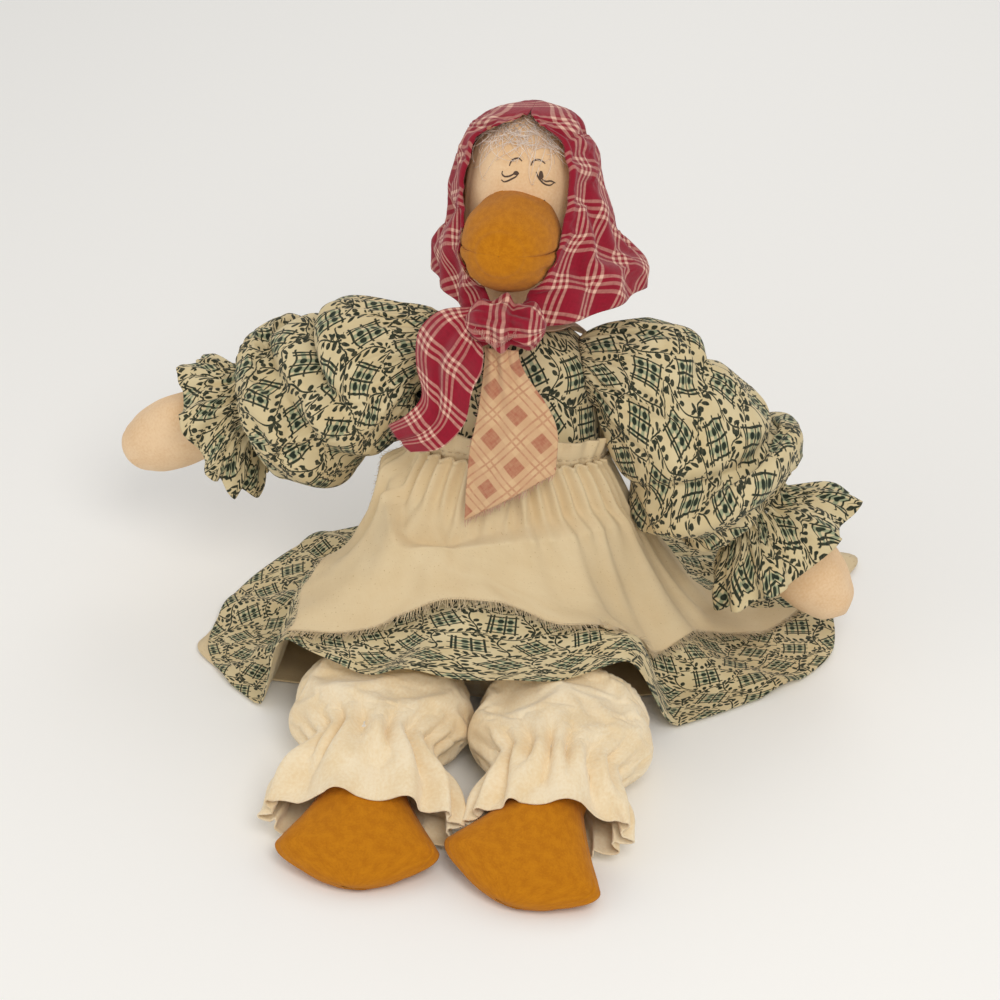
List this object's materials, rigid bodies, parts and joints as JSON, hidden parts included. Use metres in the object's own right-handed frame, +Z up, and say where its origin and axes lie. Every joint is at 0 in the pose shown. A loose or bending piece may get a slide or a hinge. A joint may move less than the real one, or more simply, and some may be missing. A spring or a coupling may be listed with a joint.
{
  "type": "cloth duck doll",
  "caption": "Sitting cloth duck doll with a stuffed body, mustard bill and webbed feet, in a calico dress, apron, pantaloons and a checked kerchief tied under the bill.",
  "frame": {"origin": "middle of the seat, on the surface that the doll sits on", "axes": "+Z up, the doll faces -Y with its legs forward, its left hand is toward +X"},
  "size_m": [0.3596, 0.2952, 0.2518],
  "materials": {
    "calico": "matte",
    "homespun": "matte",
    "homespun_reverse": "matte",
    "muslin": "matte",
    "skin_cloth": "matte",
    "mustard_cotton": "matte",
    "flannel": "matte",
    "filling": "matte",
    "elastic": "matte",
    "wool": "matte"
  },
  "bodies": {
    "torso": {"torso_cover": "skin_cloth", "torso_stuffing": "filling", "bodice": "calico", "collar": "muslin", "skirt": "calico", "apron": "muslin", "apron_band": "muslin", "apron_bow": "muslin", "pantaloon_seat": "flannel", "pantaloon_waist_elastic": "elastic", "petticoat": "muslin"},
    "head": {"head_cover": "skin_cloth", "head_stuffing": "filling", "bill_upper": "mustard_cotton", "bill_lower": "mustard_cotton", "bill_stuffing": "filling", "hair_tuft": "wool", "kerchief_hood": "homespun", "kerchief_knot": "homespun"},
    "left_tail": {"left_kerchief_tail": "homespun_reverse"},
    "right_tail": {"right_kerchief_tail": "homespun"},
    "left_arm": {"left_arm_cover": "skin_cloth", "left_arm_stuffing": "filling", "left_sleeve": "calico", "left_sleeve_elastic": "elastic"},
    "right_arm": {"right_arm_cover": "skin_cloth", "right_arm_stuffing": "filling", "right_sleeve": "calico", "right_sleeve_elastic": "elastic"},
    "left_leg": {"left_leg_cover": "skin_cloth", "left_leg_stuffing": "filling", "left_pantaloon_leg": "flannel", "left_cuff_elastic": "elastic"},
    "right_leg": {"right_leg_cover": "skin_cloth", "right_leg_stuffing": "filling", "right_pantaloon_leg": "flannel", "right_cuff_elastic": "elastic"},
    "left_foot": {"left_foot_top": "mustard_cotton", "left_foot_sole": "mustard_cotton", "left_foot_stuffing": "filling"},
    "right_foot": {"right_foot_top": "mustard_cotton", "right_foot_sole": "mustard_cotton", "right_foot_stuffing": "filling"}
  },
  "joints": [
    {"name": "head_turn", "type": "hinge", "parent": "torso", "child": "head", "pos_m": [0, 0.06305, 0.15604], "axis": [0, 0.3746, 0.9272], "range_deg": [-20, 20]},
    {"name": "left_tail_swing", "type": "hinge", "parent": "head", "child": "left_tail", "pos_m": [0.002, 0.01391, 0.17057], "axis": [-1, 0, 0], "range_deg": [0, 55]},
    {"name": "right_tail_swing", "type": "hinge", "parent": "head", "child": "right_tail", "pos_m": [-0.0178, 0.01829, 0.18142], "axis": [-1, 0, 0], "range_deg": [0, 55]},
    {"name": "left_arm_raise", "type": "hinge", "parent": "torso", "child": "left_arm", "pos_m": [0.05316, 0.05731, 0.14186], "axis": [-0.1736, -0.9848, 0], "range_deg": [0, 55], "deforming": ["left_sleeve"]},
    {"name": "right_arm_raise", "type": "hinge", "parent": "torso", "child": "right_arm", "pos_m": [-0.05316, 0.05731, 0.14186], "axis": [0, 1, 0], "range_deg": [-15, 40], "deforming": ["right_sleeve"]},
    {"name": "left_leg_spread", "type": "hinge", "parent": "torso", "child": "left_leg", "pos_m": [0.041, -0.03493, 0.0216], "axis": [0, 0, 1], "range_deg": [0, 15]},
    {"name": "right_leg_spread", "type": "hinge", "parent": "torso", "child": "right_leg", "pos_m": [-0.041, -0.03493, 0.0216], "axis": [0, 0, -1], "range_deg": [0, 15]},
    {"name": "left_foot_tilt", "type": "hinge", "parent": "left_leg", "child": "left_foot", "pos_m": [0.04644, -0.11274, 0.0216], "axis": [-0.9976, -0.0698, 0], "range_deg": [-6, 18]},
    {"name": "right_foot_tilt", "type": "hinge", "parent": "right_leg", "child": "right_foot", "pos_m": [-0.03556, -0.11274, 0.0216], "axis": [-0.9976, -0.0698, 0], "range_deg": [-6, 18]}
  ]
}
